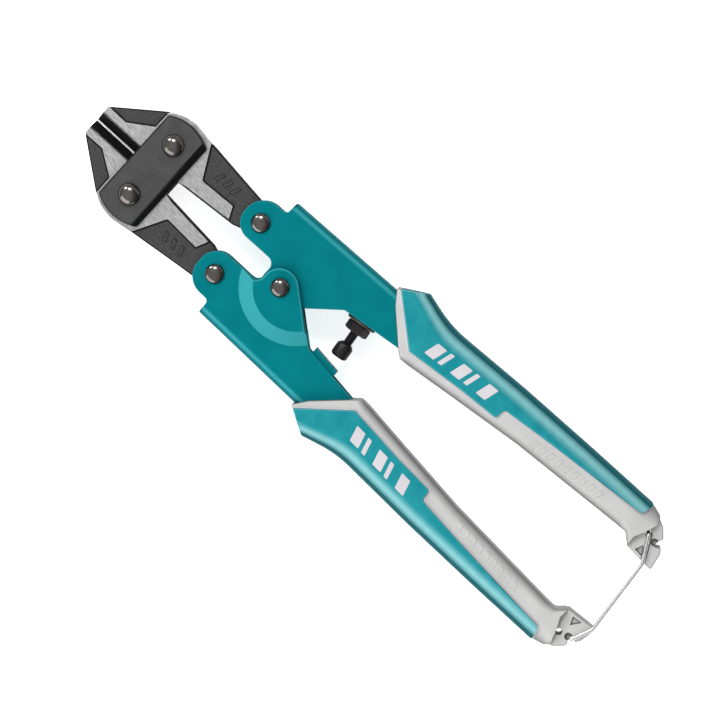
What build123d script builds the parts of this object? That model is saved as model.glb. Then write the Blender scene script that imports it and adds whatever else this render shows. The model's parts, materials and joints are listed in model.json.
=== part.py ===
"""Mini bolt cutters: two jaws, two link plates, two folded handles, grips, stop bolt and latch.

Axes: +X runs from the jaws to the handle ends, +Y to the right-hand handle, +Z up.
Sizes are in mm. Shapes are drawn round the centre pivot at mid thickness, then placed.
"""
import os
from math import acos, atan2, cos, degrees, hypot, sin

from build123d import *

# ---- driving dimensions ----
tip_x = -72.2            # jaw tip, from the centre pivot
hook_x = 134.3           # end of the hooks, from the centre pivot
grip_half = 9.0          # half thickness of the grips, the thickest part
jaw_pivot = (-50.5, 9.5)
arm_pivot = (-16.75, 9.93)

jaw_half = 3.5           # half thickness of the forged jaws
plate_gap = 0.1
plate_thick = 3.2
cheek_in = 3.7           # half of the gap inside the folded channels
sheet = 1.8              # sheet thickness of the channels
cheek_out = cheek_in + sheet
fold_r = 2.8             # outside radius of the fold along the spine
ear_step = 1.9           # how far the left ears stand outside the right ones
rivet_r = 2.3
jaw_rivet_r = 2.6
running = 0.05           # radial clearance of a running fit
loose = 0.2              # radial clearance of the centre pivot
snug = 0.02

core_half = 8.4          # hard grip core
core_under = 7.0         # core where the soft sleeve covers it
hook_half = 6.5
wire_r = 0.6
latch_hole = (126.7, 19.3)
bolt_r = 1.4
stop_x = 24.3            # stop bolt, along the channel

place = Pos(-(tip_x + hook_x) / 2, 0, grip_half)


# ---- helpers ----
def outline(start, *steps):
    """Closed face. A step is a point for a straight run, or (through, end) for an arc."""
    edges, at = [], start
    for step in steps:
        if isinstance(step[0], tuple):
            edges.append(ThreePointArc(at, step[0], step[1]))
            at = step[1]
        else:
            edges.append(Line(at, step))
            at = step
    if hypot(at[0] - start[0], at[1] - start[1]) > 1e-6:
        edges.append(Line(at, start))
    return make_face(Wire(edges))


def slab(face, low, high):
    """The face extruded from height low to height high."""
    return Pos(0, 0, low) * extrude(face, amount=high - low, dir=(0, 0, 1))


def both_faces(face, low, high):
    """The same slab above and below mid thickness."""
    return slab(face, low, high) + slab(face, -high, -low)


def disc(centre, radius):
    return Pos(centre[0], centre[1]) * Circle(radius)


def rod(centre, radius, low, high):
    return slab(disc(centre, radius), low, high)


def flip(point):
    return (point[0], -point[1])


def to_left(shape):
    return mirror(shape, about=Plane.XZ)


def tangent_point(radius, point, turn):
    """Where a line from point touches a circle round the centre pivot."""
    away = hypot(*point)
    angle = atan2(point[1], point[0]) + turn * acos(radius / away)
    return (radius * cos(angle), radius * sin(angle))


def rivet(centre, radius, seat, head_r, head_h):
    """Rivet with a low domed head on each side, seated at +-seat."""
    dome_r = (head_r**2 + head_h**2) / (2 * head_h)
    shape = rod(centre, radius, -seat, seat)
    for way in (1, -1):
        ball = Pos(centre[0], centre[1], way * (seat + head_h - dome_r)) * Sphere(dome_r)
        low, high = sorted((way * seat, way * (seat + head_h + 1)))
        shape += ball & rod(centre, head_r, low, high)
    return shape


# ---- head ----
def link_plate():
    """Waisted plate that carries both jaw rivets."""
    front, back, corner, crown = -57.5, -42.6, 15.2, 17.1
    middle = (front + back) / 2
    face = outline(
        (front, -corner), ((middle, -crown), (back, -corner)), (back, corner),
        ((middle, crown), (front, corner)),
    )
    for centre in (jaw_pivot, flip(jaw_pivot)):
        face -= disc(centre, jaw_rivet_r + snug)
    low = jaw_half + plate_gap
    plate = slab(face, low, low + plate_thick)
    rim = plate.faces().sort_by(Axis.Z)[-1].outer_wire().edges()
    return chamfer(rim, 0.5)


def jaw():
    """Right jaw: cutting nose, body between the link plates, rear arm with its eye."""
    centre_gap = 0.05
    nose = 5.1
    body = outline(
        (tip_x, centre_gap), (tip_x, nose), (-71.2, 5.95), (-58.5, 15.6),
        ((-55.9, 17.3), (-52.5, 18.3)), ((-47.5, 18.4), (-42.4, 17.3)), (-26.1, 15.4),
        (arm_pivot[0], arm_pivot[1] + 4.8), (arm_pivot[0], arm_pivot[1] - 4.8),
        (-19.3, 5.1), (-22.5, 4.0), (-42.5, 2.4), (-51.5, centre_gap),
    )
    body += disc(arm_pivot, 4.8)
    body -= disc(jaw_pivot, jaw_rivet_r + running)
    body -= disc(arm_pivot, rivet_r + running)
    shape = slab(body, -jaw_half, jaw_half)

    # cutting bevels, from full thickness down to a narrow land at mid thickness
    bevel_wide, land = 2.75, 0.35
    wedge = Polyline(
        (0.3, land), (bevel_wide, jaw_half), (bevel_wide, jaw_half + 1),
        (-1, jaw_half + 1), (-1, land), close=True,
    )
    across = Plane(origin=(tip_x - 1, 0, 0), x_dir=(0, 1, 0), z_dir=(1, 0, 0))
    bevel = extrude(across * make_face(wedge), amount=19)
    shape -= bevel
    shape -= mirror(bevel, about=Plane.XY)

    # lowered facets with the dark forged finish
    facet_deep = 0.45
    nose_facet = outline((-71.6, 5.9), (-65.5, 5.8), (-58.6, 10.5), (-58.5, 17), (-62, 17))
    arm_facet = outline(
        (-42.4, 18.5), (-37.2, 7.9), (-25.6, 8.6), (-23.8, 4.35), (-20, 3.5), (-15, 18.5)
    )
    shape -= both_faces(nose_facet + arm_facet, jaw_half - facet_deep, jaw_half + 1)
    return shape


# ---- folded channels ----
boss_r = 6.0
ear_r = 5.8
ear_foot = (18.2, 7.7)   # inner edge of the cheeks, from here
cheek_end = (37.3, 10.0)  # to here, where the grip starts
spine_front = (-12.7, 21.2)
spine_back = (25.6, 22.1)
tail_x = 62.0
tail_in, tail_out = 13.2, 21.6
tab_x = (19.5, 28.7)
tab_stands = 1.9         # strike tab, out of the left channel
ramp_centre = (3.6, -3.0)
ramp_inner, ramp_outer = 12.6, 16.8
edge_tilt = degrees(atan2(cheek_end[1] - ear_foot[1], cheek_end[0] - ear_foot[0]))


def edge_y(x):
    """Height of the cheeks' inner edge at x."""
    rise = (cheek_end[1] - ear_foot[1]) / (cheek_end[0] - ear_foot[0])
    return ear_foot[1] + rise * (x - ear_foot[0])


def channel_plan(slot_y):
    """Side view of a channel: boss round the arm pivot, ear round the centre pivot."""
    touch = tangent_point(ear_r, ear_foot, -1)
    notch = [spine_front, (-13.9, 16.9), (-18.0, 16.0)]
    plan = outline(
        (arm_pivot[0], slot_y), (-1.0, slot_y), (0, 0), touch, ear_foot, cheek_end,
        (44.0, tail_in), (tail_x, tail_in), (tail_x, tail_out), (44.0, tail_out),
        spine_back, *notch, arm_pivot,
    )
    return plan + disc(arm_pivot, boss_r) + disc((0, 0), ear_r)


def fold_edges(shape, half):
    """The long outer edges of the spine."""
    def is_fold(edge):
        middle = edge.center()
        return (
            edge.geom_type == GeomType.LINE and edge.length > 15
            and middle.Y > 20.5 and abs(abs(middle.Z) - half) < 0.01
        )
    return [edge for edge in shape.edges() if is_fold(edge)]


def folded_channel(slot_y):
    """Right-hand channel with plain ears, spine on the outside and open at the front."""
    shape = slab(channel_plan(slot_y), -cheek_out, cheek_out)
    shape = fillet(fold_edges(shape, cheek_out), fold_r)
    hollow = outline(
        (-40, -12), (tail_x + 1, -12), (tail_x + 1, tail_out - sheet), (44, tail_out - sheet),
        (spine_back[0], spine_back[1] - sheet), (spine_front[0] - 1, spine_front[1] - sheet),
        (spine_front[0] - 1, 40), (-40, 40),
    )
    shape -= slab(hollow, -cheek_in, cheek_in)
    shape -= rod(arm_pivot, rivet_r + snug, -20, 20)
    return shape


def right_channel_shape():
    shape = folded_channel(4.2)
    near, far = [(x, edge_y(x)) for x in tab_x]
    bridge = outline(near, far, (far[0], far[1] + sheet), (near[0], near[1] + sheet))
    shape += slab(bridge, -cheek_in, cheek_in)
    shape -= rod((0, 0), rivet_r + loose, -20, 20)
    return shape - stop_axis * Pos(0, 0, -20) * Cylinder(bolt_r + 0.1, 60)


def left_channel_shape():
    """Channel whose ears are stepped outwards over the right ones, drawn on the +Y side."""
    shape = folded_channel(3.3)
    plan = channel_plan(3.3)
    upper = slab(plan, cheek_out, cheek_out + ear_step)
    high = cheek_out + ear_step
    outer = Pos(ramp_centre[0], ramp_centre[1], (cheek_out + high) / 2) * Cone(
        ramp_outer, ramp_inner, ear_step
    )
    side_ear = upper & outer
    inner = Pos(ramp_centre[0], ramp_centre[1], cheek_in + ear_step / 2) * Cone(
        ramp_outer - 0.4, ramp_inner - 0.4, ear_step
    )
    shape += side_ear + mirror(side_ear, about=Plane.XY)
    shape -= inner
    shape -= mirror(inner, about=Plane.XY)
    shape -= rod((0, 0), rivet_r + snug, -20, 20)
    near, far = [(x, edge_y(x) - tab_stands) for x in tab_x]
    back = tab_stands + 1.3
    tab = outline(near, far, (far[0], far[1] + back), (near[0], near[1] + back))
    return shape + slab(tab, -cheek_in - sheet / 2, cheek_in + sheet / 2)


# ---- stop bolt, on the right-hand channel, pointing at the left one ----
stop_axis = Pos(stop_x, edge_y(stop_x), 0) * Rot(0, 0, edge_tilt) * Rot(90, 0, 0)
washer_thick = 1.0
nut_thick = 2.9
head_long = 4.8
stop_reach = 12.6


def stop_washer_shape():
    ring = Circle(4.65) - Circle(bolt_r + 0.1)
    return stop_axis * slab(ring, 0, washer_thick)


def hex_nut(low, high):
    nut = slab(RegularPolygon(3.2, 6, major_radius=False), low, high)
    cone = Pos(0, 0, (low + high) / 2) * Cylinder(3.55, high - low)
    return (nut & cone) - Pos(0, 0, (low + high) / 2) * Cylinder(bolt_r, high - low + 1)


def stop_nut_shape():
    return stop_axis * hex_nut(washer_thick, washer_thick + nut_thick)


def weld_nut_shape():
    behind_tab = -sheet
    return stop_axis * hex_nut(behind_tab - 2.3, behind_tab)


def stop_bolt_shape():
    shank = Pos(0, 0, -5.5) * Cylinder(bolt_r, stop_reach - head_long + 5.5, align=(
        Align.CENTER, Align.CENTER, Align.MIN))
    head = Pos(0, 0, stop_reach - head_long / 2) * Cylinder(2.6, head_long)
    head = chamfer(head.edges().filter_by(GeomType.CIRCLE), 0.8)
    return stop_axis * (shank + head)


# ---- opening spring and its bush ----
bush_r = 3.4
spring_wire = 0.5


def centre_bush_shape():
    return rod((0, 0), bush_r, -cheek_in + 0.1, cheek_in - 0.1) - rod(
        (0, 0), rivet_r + snug, -9, 9)


def opening_spring_shape():
    """Three turns round the bush, one leg into each channel."""
    mean = bush_r + 0.3 + spring_wire
    pitch = 0.95
    shape = None
    for turn in (-1, 0, 1):
        ring = Pos(0, 0, turn * pitch) * Torus(mean, spring_wire)
        shape = ring if shape is None else shape + ring
    for side in (1, -1):
        level = side * pitch
        start = Vector(0, side * mean, level)
        end = Vector(13.5, side * 10.5, level)
        leg = Plane(origin=start, z_dir=(end - start)) * Circle(spring_wire)
        shape += extrude(leg, amount=(end - start).length)
    return shape


# ---- grips ----
sleeve_edge = [(26.2, 23.0), (30.0, 19.6), (40.0, 11.5), (59.1, 13.6), (71.5, 14.3),
               (71.8, 17.3), (87.3, 19.2), (121.3, 22.2), (122.6, 26.0)]
grip_back = [(122.4, 26.5), (98.6, 26.4), (72.5, 26.0)]
back_r = 3.2             # rounding along the back of the soft sleeve


def sleeve_face():
    return outline(
        sleeve_edge[0], *sleeve_edge[1:], *grip_back, (48.7, 25.2),
        ((40.5, 25.5), (33.5, 27.7)),
    )


def core_face():
    return outline(
        (25.5, 22.4), (28.4, 18.2), (37.3, 9.6), ((39.4, 8.3), (41.9, 8.3)), (55.0, 9.7),
        (80.7, 12.6), (121.3, 15.1), ((123.4, 14.3), (124.5, 12.4)), (132.2, 11.8),
        (hook_x, 11.8), (132.8, 18.1), (131.6, 18.4), ((130.1, 19.2), (130.8, 20.8)),
        (128.7, 23.7), ((126.0, 25.6), (122.7, 26.4)), (72.5, 25.6), (48.7, 24.8),
        (33.5, 25.6),
    )


def latch_cut():
    """Slot in the hook that takes the end of the latch wire."""
    return outline((133.6, 18.0), (130.3, 18.3), ((129.5, 19.4), (130.3, 20.4)), (132.5, 21.2))


def grip_core_shape():
    """Hard core: thinner under the sleeve and at the hook, with a socket for the channel."""
    core = slab(core_face(), -core_half, core_half)
    core -= both_faces(sleeve_face(), core_under, core_half + 1)
    outside = outline((30, 24.6), (60, 23.2), (122.5, 23.8), (122.5, 30), (24, 30))
    core -= slab(outside & sleeve_face(), -core_half - 1, core_half + 1)
    thin = outline((122.7, 8), (hook_x + 2, 8), (hook_x + 2, 30), (122.7, 30))
    core -= both_faces(thin, hook_half, core_half + 1)
    core -= slab(latch_cut(), -20, 20)
    core -= rod(latch_hole, wire_r + 0.35, -20, 20)
    socket = outline(
        (20, -5), cheek_end, (44.0, tail_in), (tail_x, tail_in), (tail_x, tail_out),
        (44.0, tail_out), spine_back, (20, 40),
    )
    return core - slab(socket, -cheek_out, cheek_out)


def grip_sleeve_shape():
    """Soft sleeve over the outer side of the core, rounded along the back."""
    sleeve = slab(sleeve_face(), -grip_half, grip_half)
    back_edges = [
        edge for edge in sleeve.edges()
        if edge.center().Y > 25.0 and edge.length > 12 and abs(edge.center().Z) > 1
    ]
    sleeve = fillet(back_edges, back_r)
    return sleeve - grip_core_shape() - slab(channel_plan(4.2), -cheek_out, cheek_out)


# ---- latch wire ----
def latch_wire_shape():
    """Wire bail: a leg through the right hook, along its face, over to the left slot."""
    level = hook_half + wire_r + 0.1
    foot = -hook_half - 1.6
    route = [
        (latch_hole[0] - 3.2, latch_hole[1] + 0.6, foot), (*latch_hole, foot),
        (*latch_hole, level), (131.3, 11.5, level), (133.5, -12.2, level),
        (130.55, -19.3, level), (130.55, -19.3, level - 8.0),
    ]
    path = FilletPolyline(*route, radius=0.95)
    start = Plane(origin=path @ 0, z_dir=path % 0)
    return sweep(start * Circle(wire_r), path=path)


# ---- build ----
plate = link_plate()
right_jaw = jaw()
core = grip_core_shape()
sleeve = grip_sleeve_shape()
jaw_seat = jaw_half + plate_gap + plate_thick
ear_seat = cheek_out + ear_step
lie_gap = 0.05           # rivet heads stop this short of the surface it lies on
jaw_dome = grip_half - lie_gap - jaw_seat
centre_dome = grip_half - lie_gap - ear_seat

nodes = {
    "front_link_plate": plate,
    "back_link_plate": mirror(plate, about=Plane.XY),
    "right_jaw_rivet": rivet(jaw_pivot, jaw_rivet_r, jaw_seat, 3.3, jaw_dome),
    "left_jaw_rivet": rivet(flip(jaw_pivot), jaw_rivet_r, jaw_seat, 3.3, jaw_dome),
    "right_jaw": right_jaw,
    "left_jaw": to_left(right_jaw),
    "right_arm_rivet": rivet(arm_pivot, rivet_r, cheek_out, 2.9, 1.4),
    "left_arm_rivet": rivet(flip(arm_pivot), rivet_r, cheek_out, 2.9, 1.4),
    "centre_rivet": rivet((0, 0), rivet_r, ear_seat, 2.85, centre_dome),
    "centre_bush": centre_bush_shape(),
    "opening_spring": opening_spring_shape(),
    "right_channel": right_channel_shape(),
    "left_channel": to_left(left_channel_shape()),
    "right_grip_core": core,
    "left_grip_core": to_left(core),
    "right_grip_sleeve": sleeve,
    "left_grip_sleeve": to_left(sleeve),
    "stop_bolt": stop_bolt_shape(),
    "stop_nut": stop_nut_shape(),
    "stop_washer": stop_washer_shape(),
    "stop_weld_nut": weld_nut_shape(),
    "latch_wire": latch_wire_shape(),
}

os.makedirs("parts", exist_ok=True)
for name, shape in nodes.items():
    placed = place * shape
    export_step(placed, f"parts/{name}.step")
    box = placed.bounding_box()
    print(f"{name:18s} solids {len(placed.solids())} volume {placed.volume:9.1f}",
          f"x {box.min.X:.2f} {box.max.X:.2f} y {box.min.Y:.2f} {box.max.Y:.2f}",
          f"z {box.min.Z:.2f} {box.max.Z:.2f}")
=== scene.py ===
"""Mini bolt cutters: visible pieces, materials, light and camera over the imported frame.

Outlines are in millimetres, measured from the centre pivot at mid thickness and drawn for the
right-hand side (+Y). mirrored() turns them into the left-hand ones.
"""
import json
import math

import bmesh
import bpy
from mathutils import Matrix, Vector


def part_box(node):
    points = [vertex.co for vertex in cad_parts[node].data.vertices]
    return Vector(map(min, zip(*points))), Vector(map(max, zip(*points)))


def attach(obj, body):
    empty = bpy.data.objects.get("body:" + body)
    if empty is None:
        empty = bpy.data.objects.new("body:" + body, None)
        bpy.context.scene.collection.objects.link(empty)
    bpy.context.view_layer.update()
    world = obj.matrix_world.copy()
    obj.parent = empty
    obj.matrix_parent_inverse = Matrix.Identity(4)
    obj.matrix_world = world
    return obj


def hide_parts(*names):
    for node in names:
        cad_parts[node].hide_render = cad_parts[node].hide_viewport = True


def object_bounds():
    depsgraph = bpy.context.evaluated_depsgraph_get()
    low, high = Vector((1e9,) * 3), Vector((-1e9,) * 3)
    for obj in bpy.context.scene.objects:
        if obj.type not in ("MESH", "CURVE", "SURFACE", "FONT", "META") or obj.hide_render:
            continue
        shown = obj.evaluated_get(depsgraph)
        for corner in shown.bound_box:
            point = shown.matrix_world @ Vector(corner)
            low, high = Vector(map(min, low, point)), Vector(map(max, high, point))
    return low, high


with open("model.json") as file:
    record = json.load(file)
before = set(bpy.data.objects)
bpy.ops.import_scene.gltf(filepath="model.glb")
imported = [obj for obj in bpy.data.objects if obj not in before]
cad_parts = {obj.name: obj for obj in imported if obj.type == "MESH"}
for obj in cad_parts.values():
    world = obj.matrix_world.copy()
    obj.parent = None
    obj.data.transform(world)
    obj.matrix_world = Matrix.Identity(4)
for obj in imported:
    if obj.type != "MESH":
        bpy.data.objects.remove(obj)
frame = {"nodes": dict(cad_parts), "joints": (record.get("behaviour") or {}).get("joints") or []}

MM = 0.001
first_low, first_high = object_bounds()

# ---- places read from the frame, in millimetres from the centre pivot ----
rivet_low, rivet_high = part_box("centre_rivet")
ORIGIN = (rivet_low + rivet_high) / 2


def span(node):
    """Lowest and highest corner of a CAD node, in millimetres from the centre pivot."""
    low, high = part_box(node)
    return (low - ORIGIN) / MM, (high - ORIGIN) / MM


def half_of(node):
    """Half the height of a CAD node."""
    low, high = span(node)
    return (high.z - low.z) / 2


def joint_at(name):
    """A hinge's place in plan."""
    joint = next(j for j in frame["joints"] if j["name"] == name)
    place = (Vector(joint["pos_m"]) - ORIGIN) / MM
    return (place.x, place.y)


TIP_X = span("right_jaw")[0].x
JAW_HALF = half_of("right_jaw")
GRIP_HALF = half_of("right_grip_sleeve")
CORE_HALF = half_of("right_grip_core")
CHEEK_OUT = half_of("right_channel")
EAR_OUT = half_of("left_channel")
PLATE_LOW, PLATE_HIGH = span("front_link_plate")[0].z, span("front_link_plate")[1].z
JAW_PIVOT = joint_at("jaw_opening")
ARM_PIVOT = joint_at("right_handle_swing")
LATCH_HOLE = joint_at("latch_swing")
SHEET = 1.8                       # sheet thickness of the channels
CHEEK_IN = CHEEK_OUT - SHEET      # half of the gap between the cheeks of a channel
EAR_IN = EAR_OUT - SHEET          # half of the gap between the left channel's ears
HOOK_HALF = 6.5
WIRE_R = 0.6
RIVET_R = 2.3
JAW_RIVET_R = 2.6
EDGE_START, EDGE_END = (18.2, 7.7), (37.3, 10.0)   # inner edge of the channel cheeks
STOP_X = 24.3                     # stop bolt
THROUGH = 9                       # half length of a cutter that goes through a jaw or channel
MERGE = 1e-6                      # metres; points nearer than this are one


# ---- outlines ----
def rounded(corners, steps=8):
    """Points of a closed outline. A corner's third number is the radius that rounds it."""
    points = []
    for i, corner in enumerate(corners):
        here = Vector(corner[:2])
        radius = corner[2] if len(corner) > 2 else 0
        if not radius:
            points.append(here)
            continue
        back = (Vector(corners[i - 1][:2]) - here).normalized()
        ahead = (Vector(corners[(i + 1) % len(corners)][:2]) - here).normalized()
        half = back.angle(ahead) / 2
        centre = here + (back + ahead).normalized() * radius / math.sin(half)
        first = here + back * radius / math.tan(half) - centre
        last = here + ahead * radius / math.tan(half) - centre
        start = math.atan2(first.y, first.x)
        turn = math.atan2(last.y, last.x) - start
        turn = (turn + math.pi) % (2 * math.pi) - math.pi
        for k in range(steps + 1):
            angle = start + turn * k / steps
            points.append(centre + Vector((math.cos(angle), math.sin(angle))) * radius)
    return points


def counter_clockwise(corners):
    area = sum(
        corners[i - 1][0] * c[1] - c[0] * corners[i - 1][1] for i, c in enumerate(corners)
    )
    return corners if area > 0 else corners[::-1]


def moved_in(corners, amounts):
    """Counter-clockwise outline with edge i, from corner i to the next, moved in by amounts[i]."""
    new = []
    for i, corner in enumerate(corners):
        here = Vector(corner[:2])
        one = (here - Vector(corners[i - 1][:2])).normalized()
        two = (Vector(corners[(i + 1) % len(corners)][:2]) - here).normalized()
        a, b = amounts[i - 1], amounts[i]
        cross = one.x * two.y - one.y * two.x
        if abs(cross) < 0.02:
            place = here + Vector((-one.y, one.x)) * (a + b) / 2
        else:
            place = here + (two * a - one * b) / cross
        radius = corner[2] if len(corner) > 2 else 0
        if radius:
            radius = max(radius - math.copysign((a + b) / 2, cross), 0.01)
        new.append((place.x, place.y, radius))
    return new


def circle(centre, radius, steps=48):
    middle = Vector(centre)
    return [
        middle + Vector((math.cos(a), math.sin(a))) * radius
        for a in (2 * math.pi * k / steps for k in range(steps))
    ]


# ---- solids: each is (vertices, faces), in millimetres ----
def slab(corners, low, high, edge=0.0, low_edge=None, steps=3, arc=8):
    """Closed slab over an outline. edge rounds its rims and may depend on an edge's middle."""
    corners = counter_clockwise(corners)
    count = len(corners)
    middles = [
        ((corners[i][0] + corners[(i + 1) % count][0]) / 2,
         (corners[i][1] + corners[(i + 1) % count][1]) / 2) for i in range(count)
    ]
    top = [edge(*m) if callable(edge) else edge for m in middles]
    bottom = top if low_edge is None else [low_edge] * count

    def ring(rims, angle, flat, sign):
        """The outline at one step round the quarter circle of its rims."""
        amounts = [r * (1 - math.cos(angle)) for r in rims]
        points = rounded(moved_in(corners, amounts), arc)
        drops = []
        for i, corner in enumerate(corners):
            size = arc + 1 if len(corner) > 2 and corner[2] else 1
            for k in range(size):
                t = k / arc if size > 1 else 0.5
                drops.append((rims[i - 1] * (1 - t) + rims[i] * t) * (1 - math.sin(angle)))
        return [(p.x, p.y, flat + sign * d) for p, d in zip(points, drops)]

    rings = [ring(bottom, math.pi / 2 * (1 - k / steps), low, 1) for k in range(steps + 1)]
    rings += [ring(top, math.pi / 2 * k / steps, high, -1) for k in range(steps + 1)]
    return stack(rings)


def stack(rings):
    """Closed solid through rings of equal length, from the lowest to the highest."""
    count = len(rings[0])
    vertices = [v for ring in rings for v in ring]
    faces = [list(range(count))[::-1]]
    for k in range(len(rings) - 1):
        for i in range(count):
            j = (i + 1) % count
            faces.append([k * count + i, k * count + j,
                          (k + 1) * count + j, (k + 1) * count + i])
    faces.append([(len(rings) - 1) * count + i for i in range(count)])
    return vertices, faces


def turned(profile, centre=(0, 0), steps=64):
    """Solid of revolution about Z. profile is (radius, height) from the lowest up."""
    rings = [
        [(*p, height) for p in circle(centre, max(radius, 0.001), steps)]
        for radius, height in profile
    ]
    return stack(rings)


def extruded(section, x_low, x_high):
    """Section points (y, z), run along X."""
    rings = [[(x, y, z) for y, z in section] for x in (x_low, x_high)]
    return stack(rings)


def shoulder(stations, far, half, steps=10):
    """Bar along X, square on its far side, well rounded on the other: (x, y, radius) stations."""
    rings = []
    for x, y, radius in stations:
        way = 1 if y > far else -1
        ring = [(x, far, -half)]
        for end in (-1, 1):
            for k in range(steps + 1):
                t = k / steps if end > 0 else 1 - k / steps
                a = math.pi / 2 * t
                ring.append((x, y - way * radius * (1 - math.cos(a)),
                             end * (half - radius * (1 - math.sin(a)))))
        rings.append(ring + [(x, far, half)])
    return stack(rings)


def pit(corners, depth, level, slope):
    """Cutter for a recess with sloping walls, open upwards at level."""
    corners = counter_clockwise(corners)
    count = len(corners)
    over = 0.5
    floor = rounded(moved_in(corners, [slope] * count), 6)
    mouth = rounded(moved_in(corners, [-slope * over / depth] * count), 6)
    return stack([[(*p, level - depth) for p in floor], [(*p, level + over) for p in mouth]])


def same(solid):
    return solid


def mirrored(solid):
    """The left-hand twin of a right-hand solid."""
    vertices, faces = solid
    return [(x, -y, z) for x, y, z in vertices], [f[::-1] for f in faces]


def turned_over(solid):
    """The same solid below mid thickness."""
    vertices, faces = solid
    return [(x, y, -z) for x, y, z in vertices], [f[::-1] for f in faces]


def for_side(side):
    """What makes a right-hand solid fit a side, 1 for right and -1 for left."""
    return same if side > 0 else mirrored


def hand_name(side):
    return "right" if side > 0 else "left"


def with_twin(solid):
    """A solid and the same one below mid thickness, as one."""
    vertices, faces = solid
    below, turned_faces = turned_over(solid)
    count = len(vertices)
    return vertices + below, faces + [[i + count for i in f] for f in turned_faces]


def along(solid, place, matrix):
    """The solid turned by a matrix, then moved to a place."""
    vertices, faces = solid
    return [tuple(Vector(place) + matrix @ Vector(v)) for v in vertices], faces


# ---- objects ----
def link(name, data):
    """New object with this data, in the scene."""
    obj = bpy.data.objects.new(name, data)
    bpy.context.scene.collection.objects.link(obj)
    return obj


def merge_points(bm, reach):
    """Merges points that fall together and drops what then has no area."""
    bmesh.ops.remove_doubles(bm, verts=bm.verts, dist=reach)
    bmesh.ops.dissolve_degenerate(bm, edges=bm.edges, dist=reach)


def new_object(name, *solids):
    """One object from several solids, in metres in the row frame."""
    vertices, faces = [], []
    for some, these in solids:
        base = len(vertices)
        vertices += [ORIGIN + Vector(v) * MM for v in some]
        faces += [[base + i for i in f] for f in these]
    mesh = bpy.data.meshes.new(name)
    mesh.from_pydata(vertices, [], faces)
    bm = bmesh.new()
    bm.from_mesh(mesh)
    merge_points(bm, MERGE)
    bmesh.ops.recalc_face_normals(bm, faces=bm.faces)
    bm.to_mesh(mesh)
    bm.free()
    return link(name, mesh)


def applied(obj):
    """Bakes the object's modifiers into its mesh."""
    graph = bpy.context.evaluated_depsgraph_get()
    mesh = bpy.data.meshes.new_from_object(obj.evaluated_get(graph))
    old = obj.data
    obj.modifiers.clear()
    obj.data = mesh
    bpy.data.meshes.remove(old)
    return obj


def combine(obj, operation, *solids):
    """Exact boolean of the object with solids, one after another."""
    for solid in solids:
        tool = new_object("tool", solid)
        change = obj.modifiers.new("boolean", "BOOLEAN")
        change.operation = operation
        change.solver = "EXACT"
        change.object = tool
        applied(obj)
        bpy.data.objects.remove(tool)
        bm = bmesh.new()
        bm.from_mesh(obj.data)
        merge_points(bm, 2 * MERGE)
        bm.to_mesh(obj.data)
        bm.free()
    return obj


def joined(name, *objs):
    """Several objects as one."""
    bm = bmesh.new()
    for obj in objs:
        bm.from_mesh(obj.data)
        bpy.data.objects.remove(obj)
    mesh = bpy.data.meshes.new(name)
    bm.to_mesh(mesh)
    bm.free()
    return link(name, mesh)


def reflect(obj, axis):
    """Mirrors the object through the centre pivot, along 1 for Y and 2 for Z."""
    for vertex in obj.data.vertices:
        vertex.co[axis] = 2 * ORIGIN[axis] - vertex.co[axis]
    obj.data.flip_normals()


def smooth(obj, limit):
    """Smooth faces, with edges sharper than the limit kept, in degrees."""
    obj.data.shade_smooth()
    obj.data.set_sharp_from_angle(angle=math.radians(limit))
    weigh = obj.modifiers.new("weigh", "WEIGHTED_NORMAL")
    weigh.keep_sharp = True
    return applied(obj)


def paint_faces(obj, materials, choose):
    """Gives each face the material whose number choose(centre, normal) returns."""
    obj.data.materials.clear()
    for material in materials:
        obj.data.materials.append(material)
    for face in obj.data.polygons:
        centre = (face.center - ORIGIN) / MM
        face.material_index = choose(centre, face.normal)


def place_piece(obj, body, slot, *nodes):
    """Puts a piece on the body it rides on and hides the CAD nodes it stands for. The slot is not
    used.
    """
    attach(obj, body)
    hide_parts(*nodes)


# ---- materials ----
def map_range(tree, value, from_low, from_high, low, high):
    """A socket that runs from low to high while the value runs from from_low to from_high."""
    node = tree.nodes.new("ShaderNodeMapRange")
    for key, level in (("From Min", from_low), ("From Max", from_high),
                       ("To Min", low), ("To Max", high)):
        node.inputs[key].default_value = level
    tree.links.new(value, node.inputs["Value"])
    return node.outputs[0]


def linear(*rgb):
    """Screen colour, 0 to 255, as a linear one."""
    return [
        (c / 255 / 12.92 if c / 255 <= 0.04045 else ((c / 255 + 0.055) / 1.055) ** 2.4)
        for c in rgb
    ] + [1.0]


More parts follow.
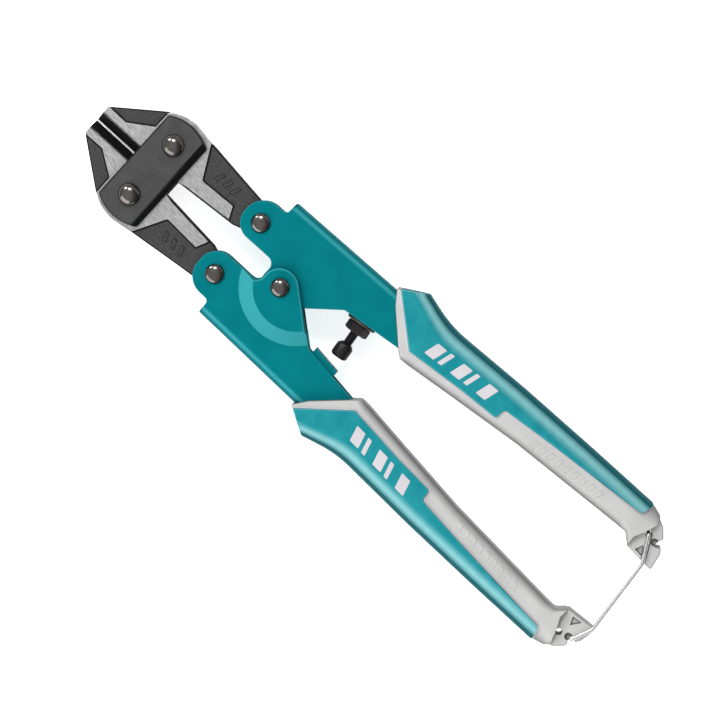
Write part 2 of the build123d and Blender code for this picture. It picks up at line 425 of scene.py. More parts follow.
class Shader:
    """A principled material, with short ways to add the nodes that vary it."""

    def __init__(self, name, metallic=0.0, **values):
        self.material = bpy.data.materials.new(name)
        self.material.use_nodes = True
        self.tree = self.material.node_tree
        self.shader = self.tree.nodes["Principled BSDF"]
        self.shader.inputs["Metallic"].default_value = metallic
        for key, value in values.items():
            self.shader.inputs[key.replace("_", " ")].default_value = value
        self.where = self.tree.nodes.new("ShaderNodeTexCoord").outputs["Object"]

    def node(self, kind, **inputs):
        node = self.tree.nodes.new(kind)
        for key, value in inputs.items():
            socket = node.inputs[key.replace("_", " ")]
            if isinstance(value, bpy.types.NodeSocket):
                self.tree.links.new(value, socket)
            else:
                socket.default_value = value
        return node

    def noise(self, size, detail=3.0, stretch=(1, 1, 1), turn=0.0):
        """Noise whose features are about size millimetres, longer along a stretched axis."""
        scale = [1 / (size * MM * s) for s in stretch]
        mapping = self.node("ShaderNodeMapping", Vector=self.where)
        mapping.inputs["Rotation"].default_value = (0, 0, turn)
        scaled = self.node("ShaderNodeVectorMath", Vector=mapping.outputs[0])
        scaled.operation = "MULTIPLY"
        scaled.inputs[1].default_value = scale
        noise = self.node("ShaderNodeTexNoise", Vector=scaled.outputs[0])
        noise.inputs["Scale"].default_value = 1.0
        noise.inputs["Detail"].default_value = detail
        return noise.outputs["Fac"]

    def mapped(self, value, low, high, from_low=0.3, from_high=0.7):
        return map_range(self.tree, value, from_low, from_high, low, high)

    def mixed(self, factor, one, two):
        node = self.tree.nodes.new("ShaderNodeMix")
        node.data_type = "RGBA"
        for socket, value in ((node.inputs[0], factor), (node.inputs[6], one),
                              (node.inputs[7], two)):
            if isinstance(value, bpy.types.NodeSocket):
                self.tree.links.new(value, socket)
            else:
                socket.default_value = value
        return node.outputs[2]

    def steep(self, low=0.3, high=0.9):
        """1 on faces that stand up, 0 on those that lie flat."""
        normal = self.tree.nodes.new("ShaderNodeNewGeometry").outputs["Normal"]
        parts = self.node("ShaderNodeSeparateXYZ", Vector=normal)
        size = self.tree.nodes.new("ShaderNodeMath")
        size.operation = "ABSOLUTE"
        self.tree.links.new(parts.outputs["Z"], size.inputs[0])
        return self.mapped(size.outputs[0], 1.0, 0.0, low, high)

    def set(self, key, value):
        if isinstance(value, bpy.types.NodeSocket):
            self.tree.links.new(value, self.shader.inputs[key])
        else:
            self.shader.inputs[key].default_value = value

    def bump(self, height, distance, strength=1.0, under=None):
        node = self.node("ShaderNodeBump", Height=height)
        node.inputs["Distance"].default_value = distance * MM
        node.inputs["Strength"].default_value = strength
        if under is not None:
            self.tree.links.new(under, node.inputs["Normal"])
        self.set("Normal", node.outputs[0])
        return node.outputs[0]


def channel_paint():
    """Powder paint, with a painted highlight where it rolls over an edge or up a ramp and painted
    shade on the sides.
    """
    s = Shader("channel_paint", Specular_IOR_Level=0.03)
    cloud = s.mapped(s.noise(9.0, 2.0), 0.0, 1.0)
    flat = s.mixed(cloud, linear(0, 111, 119), linear(3, 119, 127))
    # painted highlight: lighter teal on gently sloping faces such as the fold and the ramp
    painted_slope_highlight = s.mixed(s.steep(0.95, 0.9995), flat, linear(50, 150, 157))
    # painted shade: darker teal on the steep sides
    s.set("Base Color", s.mixed(s.steep(0.70, 0.90), painted_slope_highlight, linear(0, 100, 108)))
    s.set("Roughness", s.mapped(s.noise(0.5, 4.0), 0.36, 0.48))
    peel = s.bump(s.noise(0.9, 2.0), 0.02, 0.25)
    s.bump(s.noise(0.12, 2.0), 0.004, 0.3, peel)
    return s.material


def sleeve_rubber():
    """Soft rubber with shallow ribs and scales, with a painted highlight along its shoulder and
    painted shade on its sides.
    """
    s = Shader("sleeve_rubber", Specular_IOR_Level=0.03)
    cloud = s.mapped(s.noise(5.0, 3.0), 0.0, 1.0)
    flat = s.mixed(cloud, linear(23, 132, 143), linear(39, 146, 155))
    # painted highlight: pale teal where the shoulder tilts a little
    painted_shoulder_highlight = s.mixed(s.steep(0.88, 0.985), flat, linear(124, 186, 190))
    # painted shade: dark teal on the steep sides
    s.set("Base Color", s.mixed(s.steep(0.60, 0.82), painted_shoulder_highlight, linear(0, 80, 88)))
    s.set("Roughness", s.mapped(s.noise(0.4, 3.0), 0.42, 0.55))
    rib, scale_size = 4.3 * MM, 2.4 * MM
    wave = s.node("ShaderNodeTexWave", Vector=s.where)
    wave.bands_direction = "X"
    wave.inputs["Scale"].default_value = 2 * math.pi / rib / 20
    wave.inputs["Distortion"].default_value = 3.0
    wave.inputs["Detail"].default_value = 1.0
    wave.inputs["Detail Scale"].default_value = 2.0
    ribs = s.bump(wave.outputs["Fac"], 0.15, 0.5)
    cells = s.node("ShaderNodeTexVoronoi", Vector=s.where)
    cells.feature = "DISTANCE_TO_EDGE"
    cells.inputs["Scale"].default_value = 1 / scale_size
    ribs = s.bump(s.mapped(cells.outputs["Distance"], 0, 1, 0.0, 0.12), 0.05, 0.4, ribs)
    s.bump(s.noise(0.25, 3.0), 0.02, 0.5, ribs)
    return s.material


def core_plastic(name="core_plastic", light=(197, 197, 196), side=(106, 106, 106)):
    """Hard moulded plastic, with painted shade that makes it greyer on the walls."""
    s = Shader(name, Specular_IOR_Level=0.2)
    cloud = s.mapped(s.noise(7.0, 3.0), 0.0, 1.0)
    dim = tuple(c - 9 for c in light)
    flat = s.mixed(cloud, linear(*dim), linear(*light))
    # painted shade: the side colour on faces that stand up
    s.set("Base Color", s.mixed(s.steep(0.45, 0.985), flat, linear(*side)))
    s.set("Roughness", s.mapped(s.noise(0.4, 3.0), 0.42, 0.55))
    s.bump(s.noise(0.2, 3.0), 0.015, 0.4)
    return s.material


def ground_steel(name, dark, light, rough, turn=0.0):
    """Ground steel with fine scratches along one direction."""
    s = Shader(name, metallic=1.0)
    grain = s.noise(0.16, 4.0, (14, 1, 1), turn)
    s.set("Base Color", s.mixed(s.mapped(grain, 0, 1, 0.36, 0.64), linear(*dark), linear(*light)))
    s.set("Roughness", s.mapped(s.noise(0.3, 3.0, (6, 1, 1), turn), rough - 0.06, rough + 0.08))
    s.bump(grain, 0.01, 0.35)
    return s.material


def forged_dark():
    """Dark forged finish of the lowered facets."""
    s = Shader("forged_dark", metallic=0.3, Specular_IOR_Level=0.3)
    mottle = s.mapped(s.noise(0.8, 4.0), 0.0, 1.0)
    s.set("Base Color", s.mixed(mottle, linear(52, 52, 52), linear(70, 70, 70)))
    s.set("Roughness", s.mapped(s.noise(0.3, 3.0), 0.5, 0.65))
    s.bump(s.noise(0.25, 4.0), 0.03, 0.4)
    return s.material


def painted_shade_walls():
    """Painted shade: near black on the sloping walls between the ground and the forged faces."""
    s = Shader("painted_shade_walls", Specular_IOR_Level=0.1)
    s.set("Base Color", s.mixed(s.noise(0.4), linear(10, 10, 10), linear(24, 24, 24)))
    s.set("Roughness", s.mapped(s.noise(0.3), 0.5, 0.7))
    s.bump(s.noise(0.2), 0.01, 0.3)
    return s.material


def plate_finish():
    """Black oxide, with painted shade that makes it near black where it turns down at the edges."""
    s = Shader("plate_finish", metallic=0.2, Specular_IOR_Level=0.3)
    cloud = s.mapped(s.noise(4.0, 4.0), 0.0, 1.0)
    top = s.mixed(cloud, linear(62, 62, 62), linear(72, 72, 72))
    # painted shade: near black on the bevels and rims
    s.set("Base Color", s.mixed(s.steep(0.86, 0.995), top, linear(8, 8, 9)))
    s.set("Roughness", s.mapped(s.noise(0.4, 3.0), 0.42, 0.55))
    s.bump(s.noise(0.3, 3.0), 0.012, 0.4)
    return s.material


def rivet_steel():
    """Dark polished steel."""
    s = Shader("rivet_steel", metallic=1.0)
    mottle = s.mapped(s.noise(0.7, 4.0), 0.0, 1.0)
    s.set("Base Color", s.mixed(mottle, linear(94, 90, 88), linear(106, 102, 100)))
    s.set("Roughness", s.mapped(s.noise(0.4, 3.0), 0.12, 0.2))
    s.bump(s.noise(0.5, 2.0), 0.01, 0.2)
    return s.material


def bolt_black(name="bolt_black", dark=(24, 22, 23), light=(44, 41, 42)):
    """Blackened steel."""
    s = Shader(name, metallic=0.5, Specular_IOR_Level=0.4)
    s.set("Base Color", s.mixed(s.mapped(s.noise(0.6), 0, 1), linear(*dark), linear(*light)))
    s.set("Roughness", s.mapped(s.noise(0.3), 0.34, 0.5))
    s.bump(s.noise(0.25), 0.015, 0.4)
    return s.material


def floor_paper():
    """White paper with a slight glow that keeps shadows faint."""
    s = Shader("floor_paper", Specular_IOR_Level=0.05)
    s.set("Base Color", s.mixed(s.noise(40.0, 2.0), linear(252, 252, 252), linear(254, 254, 254)))
    s.set("Roughness", s.mapped(s.noise(2.0), 0.8, 0.9))
    s.shader.inputs["Emission Color"].default_value = (1, 1, 1, 1)
    s.shader.inputs["Emission Strength"].default_value = 0.7
    return s.material


PAINT = channel_paint()
RUBBER = sleeve_rubber()
PLASTIC = core_plastic()
SILVER = ground_steel("jaw_silver", (148, 148, 148), (208, 208, 208), 0.34, 0.1)
FORGED = forged_dark()
# painted shade for the jaws' walls and cutting bevels
EDGE = painted_shade_walls()
PLATE = plate_finish()
RIVET = rivet_steel()
BOLT = bolt_black()
WASHER = bolt_black("washer_dark", (70, 62, 56), (104, 96, 88))
WIRE = ground_steel("wire_steel", (204, 204, 204), (236, 236, 236), 0.34)
MARK = core_plastic("mark_white", (208, 205, 210), (186, 192, 194))


# ---- head ----
def link_plate(name, node, below):
    """Waisted plate; the edge towards the handles is a wide bevel."""
    front, back, corner, crown = -57.5, -42.6, 15.2, 19.1
    corner_r, crown_r, rim, inner_rim = 0.9, 13.5, 0.85, 0.3
    middle = (front + back) / 2
    corners = [
        (front, -corner, corner_r), (middle, -crown, crown_r), (back, -corner, corner_r),
        (back, corner, corner_r), (middle, crown, crown_r), (front, corner, corner_r),
    ]
    plate = new_object("plate", slab(corners, PLATE_LOW, PLATE_HIGH, rim, inner_rim, 4, 16))
    bevel_wide = 2.1
    bevel = [
        (back + 1, PLATE_HIGH - 2.1), (back + 1, PLATE_HIGH + 1),
        (back - bevel_wide, PLATE_HIGH + 1), (back - bevel_wide, PLATE_HIGH),
        (back - 1.2, PLATE_HIGH - 0.7), (back, PLATE_HIGH - 1.7),
    ]
    combine(plate, "DIFFERENCE", stack([[(x, y, z) for x, z in bevel] for y in (-20, 20)]))
    parts = [plate]
    reach, slant, wide = 1.2, 0.5, 0.6
    for k in range(6):
        y = -4.9 + 1.65 * k
        bar = [(middle - reach, y), (middle + reach, y + slant),
               (middle + reach, y + slant + wide), (middle - reach, y + wide)]
        parts.append(new_object("bar", slab(bar, PLATE_HIGH - 0.3, PLATE_HIGH + 0.08, 0.07)))
    obj = joined(name, *parts)
    if below:
        reflect(obj, 2)
    obj.data.materials.append(PLATE)
    smooth(obj, 40)
    place_piece(obj, "head", "link_plate", node)


def rivet(name, node, centre, seat, radius, head, top, body):
    """Rivet with a polished dome on each side, from its seat up to the top."""
    rim, steps = 0.2, 12
    rise = top - seat - rim
    dome = [(head, 0.0), (head, rim * 0.6)]
    for k in range(steps + 1):
        a = math.pi / 2 * k / steps
        dome.append((head * math.cos(a) ** 0.9 * 0.985, rim + rise * math.sin(a)))
    profile = [(r, -seat - z) for r, z in dome[::-1]] + [(radius, -seat), (radius, seat)]
    profile += [(r, seat + z) for r, z in dome]
    obj = new_object(name, turned(profile, centre))
    obj.data.materials.append(RIVET)
    smooth(obj, 50)
    place_piece(obj, body, "rivet", node)


CUT_Y, LAND_Y, LIP_Y = 2.7, 0.28, 0.05      # cutting bevel: outer edge, land and its lip
NOTCH_X = -54.2                             # rear end of the cutting bevel
FACET = JAW_HALF - 0.45                     # height of the forged facets
SHOULDER = [(-58.5, 15.6, 3), (-52.4, 18.9, 13), (-42.4, 17.35)]
HEEL = [(-42.5, 2.4, 3), (-51.5, 0.1, 2), (NOTCH_X, 0.1), (NOTCH_X, CUT_Y)]


def jaw_blank():
    """Outline of the whole jaw: tip, shoulder, the eye of its arm, and heel."""
    x, y = ARM_PIVOT
    eye = 4.8
    return [
        (TIP_X, CUT_Y), (TIP_X, 5.0, 0.6), (-71.2, 5.9, 0.6), *SHOULDER, (-26.1, 15.4),
        (x - 3, y + eye), (x + eye, y + eye, eye - 0.1), (x + eye, y - eye, eye - 0.1),
        (-19.3, 5.1), (-22.5, 4.0, 2), *HEEL,
    ]


def jaw_ground():
    """Outline of the ground face, which leaves one facet on the nose and one on the arm."""
    return [
        (TIP_X, CUT_Y), (TIP_X, 5.0, 0.6), (-71.4, 5.65), (-65.5, 5.55, 0.3), (-58.6, 10.2),
        *SHOULDER, (-37.3, 7.95, 0.4), (-25.8, 8.55, 0.4), (-23.7, 3.98), *HEEL,
    ]


def ground_rim(x, y):
    """Rim of the ground face, sharp where the face runs out to the jaw's own side."""
    own_side = (x < -71.3 or y > 15.5 or (x < -58.6 and y < CUT_Y + 0.1)
                or (x > -54 and abs(y - 0.1) < 1.6) or x == NOTCH_X)
    return 0.08 if own_side else 0.5


def jaw_finish(place, normal):
    """0 ground silver, 1 forged, 2 near-black painted shade on walls and cutting bevels."""
    y = abs(place.y)
    if place.x < NOTCH_X + 0.3 and y < CUT_Y + 0.02:
        return 0 if y < LAND_Y or abs(normal.x) > 0.9 else 2
    flat = abs(normal.z) > 0.97
    if -36.5 < place.x < -26 and 10 < y < 13.3:
        return 1 if flat else 2
    if abs(place.z) > FACET + 0.04:
        return 0 if flat or place.x < -71.3 or (y > 15.0 and place.x > -58.6) else 2
    if flat:
        return 1
    return 0 if place.x < -42.5 and y > 5.0 and abs(normal.z) < 0.1 else 2


def jaw(name, node, side):
    """Jaw: dark forged blank, ground faces standing above it, and cutting bevels."""
    turn = for_side(side)
    body = new_object("blank", turn(slab(jaw_blank(), -FACET - 0.02, FACET + 0.02, 0.42)))
    top = slab(jaw_ground(), FACET - 0.3, JAW_HALF, ground_rim, 0.0, 2)
    faces = [new_object("face", turn(s)) for s in (top, turned_over(top))]
    holes = [
        turn(slab(circle(centre, radius + 0.05), -THROUGH, THROUGH))
        for centre, radius in ((JAW_PIVOT, JAW_RIVET_R), (ARM_PIVOT, RIVET_R))
    ]
    parts = [combine(part, "DIFFERENCE", *holes) for part in (body, *faces)]
    section = [(CUT_Y + 0.3, JAW_HALF), (CUT_Y, JAW_HALF), (LAND_Y, 0.34), (LIP_Y, 0.3)]
    section += [(y, -z) for y, z in section[::-1]]
    parts.append(new_object("cutter", turn(extruded(section, TIP_X, NOTCH_X + 0.4))))
    for k in range(3):
        x = -35.6 + 3.0 * k
        bar = [(x, 10.3), (x + 1.3, 10.3), (x + 2.3, 13.1), (x + 1.0, 13.1)]
        for flip in (same, turned_over):
            parts.append(new_object("bar", turn(flip(slab(bar, FACET - 0.1, FACET + 0.22, 0.15)))))
    obj = joined(name, *parts)
    paint_faces(obj, [SILVER, FORGED, EDGE], jaw_finish)
    smooth(obj, 35)
    place_piece(obj, f"{hand_name(side)}_jaw_body", "jaw", node)


# ---- channels ----
def edge_y(x):
    """Inner edge of the cheeks at x."""
    rise = (EDGE_END[1] - EDGE_START[1]) / (EDGE_END[0] - EDGE_START[0])
    return EDGE_START[1] + rise * (x - EDGE_START[0])


def spine_inside(x):
    """Inner face of the spine at x, in front of its bend."""
    return 21.3 + 0.8 * (x + 12.8) / 38.4 - SHEET


def channel_outline(slot_y):
    """Boss round the arm pivot, slot, ear round the centre pivot, edge, tail and spine."""
    ear = 5.8
    return [
        (-22.75, slot_y - 0.15, 5.7), (-6.1, slot_y, 2.4), (-6.1, -ear, ear - 0.1),
        (2.11, -ear, ear), (*EDGE_START, 2.0), EDGE_END, (44.0, 13.2), (50.0, 13.2),
        (50.0, 21.6), (44.0, 21.6), (25.6, 22.1), (-12.8, 21.3, 0.5), (-13.0, 16.9, 1.3),
        (-22.75, 16.9, 6.4),
    ]


def folded(slot_y):
    """Folded channel: cheeks and spine with a wide fold, hollow inside, open at the front."""
    def outer_rim(x, y):
        """Wide along the spine, small where the sheet is cut."""
        return 2.8 if y > 20.6 and x > -12.5 else 0.25

    def inner_rim(x, y):
        """Rounded under the spine. The ends beyond the channel match, which keeps faces flat."""
        return 1.0 if (y > 18 and x > -15) or x > 51 else 0.0

    obj = new_object(
        "fold", slab(channel_outline(slot_y), -CHEEK_OUT, CHEEK_OUT, outer_rim, None, 8, 12))
    hollow = [(-40, -14), (52, -14), (52, 19.6), (44, 19.6), (25.6, spine_inside(25.6)),
              (-14, spine_inside(-14)), (-14, 40), (-40, 40)]
    return combine(obj, "DIFFERENCE", slab(hollow, -CHEEK_IN, CHEEK_IN, inner_rim, None, 4))


def tab_solid(front, back, half):
    """Web between the cheeks, from front before their inner edge to back behind it."""
    x_low, x_high = 19.5, 28.7
    return slab([(x_low, edge_y(x_low) - front), (x_high, edge_y(x_high) - front),
                 (x_high, edge_y(x_high) + back), (x_low, edge_y(x_low) + back)],
                -half, half, 0.25)


def right_channel():
    """Channel that holds the stop bolt."""
    obj = folded(4.2)
    combine(obj, "UNION", tab_solid(-0.3, SHEET, CHEEK_IN + 0.4))
    hole_r = 1.5
    stop_hole = along(turned([(hole_r, -THROUGH), (hole_r, THROUGH)]),
                      (STOP_X, edge_y(STOP_X), 0), stop_turn())
    pivot_hole = slab(circle((0, 0), RIVET_R + 0.2), -THROUGH, THROUGH)
    combine(obj, "DIFFERENCE", stop_hole, pivot_hole)
    finish_channel(obj, "right_channel_shell", "right_handle", "right_channel")


def left_channel():
    """Channel whose ears are stepped over the right ones by a conical ramp."""
    centre, inner, outer = (3.6, -3.0), 12.6, 16.8
    slope = (outer - inner) / (EAR_OUT - CHEEK_OUT)
    obj = folded(3.3)
    ear_plan = counter_clockwise(channel_outline(3.3))
    ear_plan = moved_in(ear_plan, [0.13] * len(ear_plan))
    cone = turned([(outer + 0.7 * slope, CHEEK_OUT - 0.7), (inner - 0.3 * slope, EAR_OUT + 0.3)],
                  centre, 128)
    ear = new_object("ear", slab(ear_plan, CHEEK_OUT - 0.9, EAR_OUT, 0.9, 0.0, 6, 12))
    combine(ear, "INTERSECT", cone)
    solid = ([tuple((v.co - ORIGIN) / MM) for v in ear.data.vertices],
             [list(f.vertices) for f in ear.data.polygons])
    bpy.data.objects.remove(ear)
    combine(obj, "UNION", with_twin(solid))
    void = turned([(outer - 0.4 + slope, CHEEK_IN - 1), (inner - 0.4, EAR_IN)], centre, 128)
    combine(obj, "DIFFERENCE", with_twin(void))
    combine(obj, "UNION", tab_solid(1.9, 1.3, CHEEK_IN + SHEET / 2))
    reflect(obj, 1)
    finish_channel(obj, "left_channel_shell", "left_handle", "left_channel")


def finish_channel(obj, name, body, node):
    """The limit angle is below the ramp's, which keeps the ramp's edges crisp."""
    obj.name = name
    obj.data.materials.clear()
    obj.data.materials.append(PAINT)
    smooth(obj, 18)
    place_piece(obj, body, "channel", node)


# ---- grips ----
SLEEVE_INNER = [(71.6, 14.1, 1.0), (72.0, 17.6, 1.0), (87.3, 19.2), (121.3, 22.2, 1.4)]
SLEEVE = [(26.0, 23.3, 0.4), (40.0, 11.5, 0.9), (59.1, 13.4), *SLEEVE_INNER, (122.5, 26.5, 0.5),
          (98.6, 26.4), (72.5, 26.0), (44.0, 24.85, 38), (33.5, 27.7, 0.7)]


def back_stations(inset):
    """The rounded back of a grip, from the flare to the collar: (x, y, radius)."""
    back = rounded([(33.3, 27.9), (44.0, 24.95, 38), (72.5, 26.05), (98.6, 26.45), (122.6, 26.55)])
    stations = [(20.0, 32.6 - inset, 4.5)]
    for p in back:
        grown = min(1, max(0, (p.x - 36) / 10))
        stations.append((p.x, p.y - inset, 5.0 + 1.4 * grown))
    return stations + [(126.0, 25.5 - inset, 4.0), (129.5, 23.0 - inset, 2.5)]


def grip_sleeve(side):
    """Soft sleeve: flat on both faces, well rounded along the back."""
    turn = for_side(side)
    obj = new_object("sleeve", turn(slab(SLEEVE, -GRIP_HALF, GRIP_HALF, 0.45)))
    combine(obj, "INTERSECT", turn(shoulder(back_stations(0.0), 0.0, GRIP_HALF + 0.001)))
    obj.data.materials.clear()
    obj.data.materials.append(RUBBER)
    smooth(obj, 40)
    hand = hand_name(side)
    obj.name = f"{hand}_sleeve"
    place_piece(obj, f"{hand}_handle", "grip_sleeve", f"{hand}_grip_sleeve")


def sleeve_marks(side):
    """Plain slanted bars, wide and narrow by turns, on both faces of a sleeve."""
    turn = for_side(side)
    first_x, pitch, broad, narrow = 43.4, 4.7, 3.4, 1.5
    bars = []
    for k in range(5):
        wide = narrow if k % 2 else broad
        x = first_x + pitch * k
        y = 14.3 + 0.075 * (x - first_x)
        bar = [(x, y, 0.25), (x + wide, y + 0.2, 0.25), (x + wide + 1.3, y + 4.9, 0.25),
               (x + 1.3, y + 4.7, 0.25)]
        bars.append(slab(bar, GRIP_HALF - 0.2, GRIP_HALF + 0.08, 0.07, None, 3, 4))
    bars += [turned_over(b) for b in bars]
    hand = hand_name(side)
    marks = new_object(f"{hand}_sleeve_marks", *[turn(b) for b in bars])
    marks.data.materials.append(MARK)
    smooth(marks, 40)
    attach(marks, f"{hand}_handle")


def core_strip():
    """Plan of the hard core: flare, inner strip and collar."""
    return [
        (25.0, 22.9, 0.4), (28.2, 18.6, 4), (37.6, 9.6, 0.8), (39.4, 8.15, 1.2), (42.4, 8.2, 3),
        (55.0, 9.7), (80.7, 12.6), (121.6, 15.2, 2.6), (124.4, 12.5, 0.3), (124.3, 15.8, 0.6),
        (126.1, 19.4, 1), (127.2, 23.6, 0.5), (125.9, 25.3, 1.5), (122.6, 26.5, 4),
        (121.0, 25.6), (72.5, 24.6), (48.7, 23.6), (36.0, 24.6, 1), (33.3, 26.2, 1),
    ]


def core_front():
    """The rounded inner side of the core, towards the other grip: (x, y, radius)."""
    return [(20, 4.4, 1.2), (37.0, 7.4, 1.6), (42.0, 8.1, 3.0), (55.0, 9.65, 3.2),
            (80.7, 12.55, 3.2), (118.0, 14.9, 3.0), (121.6, 14.6, 2.4), (124.5, 12.2, 1.4),
            (130.0, 10.0, 1.0)]


def channel_pocket():
    """Room for the channel's tail inside the grip."""
    plan = [(20, -5), EDGE_END, (44, 13.2), (50.2, 13.2), (50.2, 21.6), (44, 21.6),
            (25.6, 22.15), (20, 23)]
    return slab(plan, -CHEEK_OUT, CHEEK_OUT)


def hook_plate(side, hole):
    """Thinner hook with hole, round seat and recess; the right one has the wire's groove."""
    turn = for_side(side)
    plan = [
        (118.0, 17.0), (123.4, 17.0), (124.45, 12.4, 0.3), (134.25, 11.75, 0.6),
        (133.3, 17.0, 0.8), (132.2, 18.5, 0.35), (130.3, 17.4, 0.4), (130.4, 19.6, 0.3),
        (131.1, 20.8, 0.7), (128.7, 23.4, 1.5), (125.2, 24.9, 2), (118.0, 22.0),
    ]
    plate = new_object("hook", turn(slab(plan, -HOOK_HALF, HOOK_HALF, 0.5)))
    cuts = [pit([(126.8, 13.2, 0.2), (127.8, 15.8, 0.2), (130.0, 12.9, 0.2)],
                0.8, HOOK_HALF, 0.35)]
    if side > 0:
        groove = [(125.9, 20.0), (130.4, 11.1), (132.3, 10.2), (131.9, 12.1), (127.9, 19.8)]
        cuts.append(pit(groove, 0.5, HOOK_HALF, 0.3))
    cuts.append(pit(circle((129.75, 18.5), 1.2, 24), 1.6, HOOK_HALF, 0.6))
    for cut in cuts:
        combine(plate, "DIFFERENCE", turn(cut), turn(turned_over(cut)))
    return combine(plate, "DIFFERENCE", hole)


def sleeve_bead(turn):
    """Light bead that stands round the sleeve's inner side."""
    inner_sides = len(SLEEVE_INNER) + 3
    outside = len(SLEEVE) - inner_sides
    edge = moved_in(counter_clockwise(SLEEVE), [-0.35] * inner_sides + [0.6] * outside)
    bead = new_object("bead", turn(slab(edge, -CORE_HALF - 0.22, CORE_HALF + 0.22, 0.16)))
    combine(bead, "INTERSECT", turn(shoulder(back_stations(0.3), 0.0, CORE_HALF + 0.23)))
    return combine(bead, "DIFFERENCE", turn(channel_pocket()))


def core_dashes(turn):
    """A row of plain raised dashes on both faces of the core."""
    first_x, pitch = 84.0, 2.9
    marks = []
    for k in range(9):
        x = first_x + pitch * k
        y = 14.9 + 0.085 * (x - first_x)
        dash = [(x, y), (x + 1.5, y + 0.1), (x + 2.1, y + 2.4), (x + 0.6, y + 2.3)]
        marks.append(slab(dash, CORE_HALF - 0.2, CORE_HALF + 0.12, 0.1, None, 2))
    return new_object("dashes", *[turn(m) for m in marks + [turned_over(m) for m in marks]])


def grip_core(side):
    """Hard core: strip and collar at full thickness, thinner hook, dashes and bead."""
    turn = for_side(side)
    reach = 12
    hole = turn(slab(circle(LATCH_HOLE, WIRE_R + 0.4), -reach, reach))
    body = new_object("strip", turn(slab(core_strip(), -CORE_HALF, CORE_HALF, 0.45)))
    combine(body, "INTERSECT", turn(shoulder(core_front(), 40.0, CORE_HALF + 0.001)),
            turn(shoulder(back_stations(0.3), 0.0, CORE_HALF + 0.002)))
    plate = hook_plate(side, hole)
    combine(body, "DIFFERENCE", hole, turn(channel_pocket()))
    bead = sleeve_bead(turn)
    dashes = core_dashes(turn)
    for part, number in ((body, 0), (plate, 0), (dashes, 0), (bead, 1)):
        for face in part.data.polygons:
            face.material_index = number
    hand = hand_name(side)
    obj = joined(f"{hand}_core", body, plate, dashes, bead)
    obj.data.materials.append(PLASTIC)
    obj.data.materials.append(MARK)
    smooth(obj, 35)
    place_piece(obj, f"{hand}_handle", "grip_core", f"{hand}_grip_core")


# ---- stop bolt ----
def stop_turn():
    """Turns +Z to point from the right channel at the left one."""
    tilt = math.atan2(EDGE_END[1] - EDGE_START[1], EDGE_END[0] - EDGE_START[0])
    axis = Vector((math.sin(tilt), -math.cos(tilt), 0))
    side = Vector((math.cos(tilt), math.sin(tilt), 0))
    return Matrix((side, axis.cross(side), axis)).transposed()


def stop_piece(name, material, slot, node, solid, limit=40):
    """A piece on the stop bolt's axis, from a solid made along +Z."""
    obj = new_object(name, along(solid, (STOP_X, edge_y(STOP_X), 0), stop_turn()))
    obj.data.materials.append(material)
    smooth(obj, limit)
    place_piece(obj, "right_handle", slot, node)


def hexagon(radius, low, high, chamfer=0.35):
    """Nut whose corners are turned down at both ends."""
    flat = radius * math.cos(math.pi / 6)
    around = circle((0, 0), 1, 60)

    def capped(size, z):
        """Ring of the hexagon, cut off at a circle of this size."""
        ring = []
        for p in around:
            angle = math.atan2(p.y, p.x) % (math.pi / 3) - math.pi / 6
            ring.append((*(p * min(flat / math.cos(angle), size)), z))
        return ring
    return stack([capped(flat * 0.98, low), capped(radius, low + chamfer),
                  capped(radius, high - chamfer), capped(flat * 0.98, high)])


def thread_profile(low, high, crest=1.4, root=1.22, pitch=0.5):
    """Rings of a thread, as (radius, height) from the lowest up."""
    profile = [(crest - 0.01, low)]
    z = low + 0.1
    while z < high:
        profile += [(crest, z), (root, z + pitch / 2)]
        z += pitch
    return profile


def stop_bolt():
    """Washer, lock nut and bolt, from the channel's edge outwards."""
    washer, nut, reach, head = 1.0, 2.9, 12.6, 4.8
    neck = reach - head
    rim = [(4.4, 0.0), (4.65, 0.2), (4.65, washer - 0.3), (4.2, washer - 0.02), (1.6, washer)]
    stop_piece("stop_washer_ring", WASHER, "stop_washer", "stop_washer", turned(rim))
    stop_piece("stop_lock_nut", BOLT, "stop_bolt", "stop_nut",
               hexagon(3.69, washer, washer + nut), 25)
    shape = thread_profile(-5.5, neck - 0.5)
    shape += [(1.4, neck - 0.2), (1.8, neck), (2.6, neck + 0.9), (2.6, reach - 0.9),
              (2.45, reach - 0.45), (1.9, reach - 0.08), (1.2, reach)]
    stop_piece("stop_screw", BOLT, "stop_bolt", "stop_bolt", turned(shape), 45)


# ---- latch ----
def bent(route, reach=0.9, steps=6):
    """Points of a route whose corners are curves that start and end reach away from them."""
    path = [route[0]]
    for before, here, after in zip(route, route[1:], route[2:]):
        start = here + (before - here).normalized() * reach
        end = here + (after - here).normalized() * reach
        for k in range(steps + 1):
            t = k / steps
            path.append(start * (1 - t) ** 2 + here * 2 * t * (1 - t) + end * t ** 2)
    return path + [route[-1]]


def latch_wire():
    """Bent wire: through the right hook, over its face and across to the left slot."""
    level = HOOK_HALF + WIRE_R + 0.1
    foot = -HOOK_HALF - 1.6
    x, y = LATCH_HOLE
    path = bent([Vector(p) for p in (
        (x - 3.2, y + 0.6, foot), (x, y, foot), (x, y, level), (131.3, 11.5, level),
        (133.5, -12.2, level), (130.55, -19.3, level), (130.55, -19.3, level - 8.0))])
    curve = bpy.data.curves.new("latch_wire_bail", "CURVE")
    curve.dimensions = "3D"
    curve.bevel_depth = WIRE_R * MM
    curve.bevel_resolution = 5
    curve.use_fill_caps = True
    line = curve.splines.new("POLY")
    line.points.add(len(path) - 1)
    for point, place in zip(line.points, path):
        point.co = (*(ORIGIN + place * MM), 1)
    curve.materials.append(WIRE)
    place_piece(link("latch_wire_bail", curve), "latch", "wire", "latch_wire")


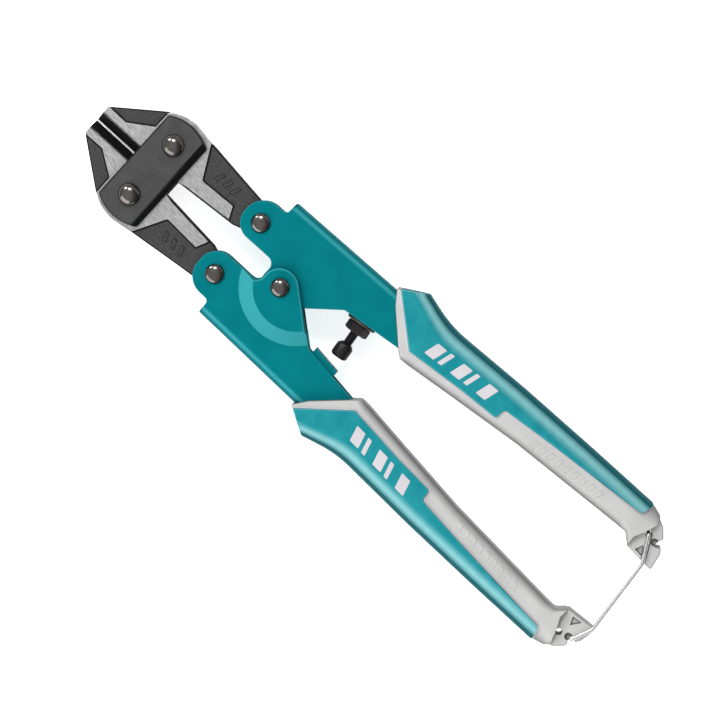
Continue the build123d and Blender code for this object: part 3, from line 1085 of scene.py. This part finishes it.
# ---- carried-over CAD nodes ----
def dress(node, material):
    """New material on a CAD node that stays visible."""
    obj = frame["nodes"][node]
    obj.data.materials.clear()
    obj.data.materials.append(material)


# ---- stage ----
def stage():
    """Floor just under the tool."""
    reach, gap = 3.0, 0.0002
    corners = [(x * reach, y * reach, first_low.z) for x, y in ((-1, -1), (1, -1), (1, 1), (-1, 1))]
    mesh = bpy.data.meshes.new("floor")
    mesh.from_pydata(corners, [], [(0, 1, 2, 3)])
    floor = link("floor", mesh)
    floor.location.z = -gap
    floor.data.materials.append(floor_paper())


def softbox(name, place, size, power, aim=(0.0, 0, 0)):
    """Rectangular light at a place, turned towards its aim."""
    light = bpy.data.lights.new(name, "AREA")
    light.shape = "RECTANGLE"
    light.size, light.size_y = size
    light.energy = power
    obj = link(name, light)
    obj.location = place
    obj.rotation_mode = "QUATERNION"
    obj.rotation_quaternion = (Vector(place) - Vector(aim)).to_track_quat("Z", "Y")


def lights():
    """Pale sky, brightest overhead and dim to the far right, with soft boxes round the tool."""
    world = bpy.data.worlds.new("studio")
    world.use_nodes = True
    tree = world.node_tree
    sky = tree.nodes["Background"]
    way = tree.nodes.new("ShaderNodeTexCoord").outputs["Generated"]
    parts = tree.nodes.new("ShaderNodeSeparateXYZ")
    tree.links.new(way, parts.inputs[0])
    far_right = tree.nodes.new("ShaderNodeVectorMath")
    far_right.operation = "DOT_PRODUCT"
    far_right.inputs[1].default_value = (0.7, 0.7, 0.0)
    tree.links.new(way, far_right.inputs[0])
    strength = tree.nodes.new("ShaderNodeMath")
    strength.operation = "MULTIPLY"
    overhead = map_range(tree, parts.outputs["Z"], 0.0, 1.0, 0.25, 0.86)
    dimmed = map_range(tree, far_right.outputs["Value"], 0.0, 0.6, 1.0, 0.3)
    tree.links.new(overhead, strength.inputs[0])
    tree.links.new(dimmed, strength.inputs[1])
    tree.links.new(strength.outputs[0], sky.inputs["Strength"])
    sky.inputs["Color"].default_value = (1, 1, 1, 1)
    bpy.context.scene.world = world
    softbox("lower_strip", (0.0, -0.78, 0.42), (1.1, 0.6), 6.0)
    softbox("upper_strip", (0.05, 0.80, 0.46), (1.1, 0.22), 0.7, (0.05, 0, 0))
    softbox("corner_light", (-0.42, 0.42, 0.80), (0.26, 0.26), 3.2)
    softbox("nose_light", (-0.62, 0.16, 0.44), (0.16, 0.16), 1.6, (-0.08, 0, 0))
    bpy.context.scene.view_settings.view_transform = "Standard"


def camera():
    """Above the tool, which runs from the upper left to the lower right of the picture."""
    across = Vector((0.7385, 0.6743, 0))
    middle = ORIGIN + Vector((31.2, -0.1, 3.0)) * MM
    away = Vector((0.0, 0.05, 1.0)).normalized() * 1.7
    view_wide = 208.8 * MM
    data = bpy.data.cameras.new("camera")
    data.sensor_width = 36
    data.lens = data.sensor_width * away.length / view_wide
    obj = link("camera", data)
    obj.location = middle + away
    z = away.normalized()
    x = (across - z * across.dot(z)).normalized()
    obj.rotation_mode = "QUATERNION"
    obj.rotation_quaternion = Matrix((x, z.cross(x), z)).transposed().to_quaternion()
    bpy.context.scene.camera = obj


# ---- make everything ----
camera()
lights()
stage()
link_plate("front_plate", "front_link_plate", False)
link_plate("back_plate", "back_link_plate", True)
for hand, side in (("right", 1), ("left", -1)):
    top = span(f"{hand}_jaw_rivet")[1].z
    rivet(f"{hand}_head_rivet", f"{hand}_jaw_rivet", (JAW_PIVOT[0], side * JAW_PIVOT[1]),
          PLATE_HIGH, JAW_RIVET_R, 3.3, top, "head")
    top = span(f"{hand}_arm_rivet")[1].z
    rivet(f"{hand}_handle_rivet", f"{hand}_arm_rivet", (ARM_PIVOT[0], side * ARM_PIVOT[1]),
          CHEEK_OUT, RIVET_R, 2.9, top, f"{hand}_handle")
    jaw(f"{hand}_cutting_jaw", f"{hand}_jaw", side)
    grip_sleeve(side)
    sleeve_marks(side)
    grip_core(side)
rivet("middle_rivet", "centre_rivet", (0, 0), EAR_OUT, RIVET_R, 2.85,
      span("centre_rivet")[1].z, "left_handle")
right_channel()
left_channel()
stop_bolt()
latch_wire()
dress("centre_bush", WIRE)
dress("opening_spring", WIRE)
dress("stop_weld_nut", BOLT)
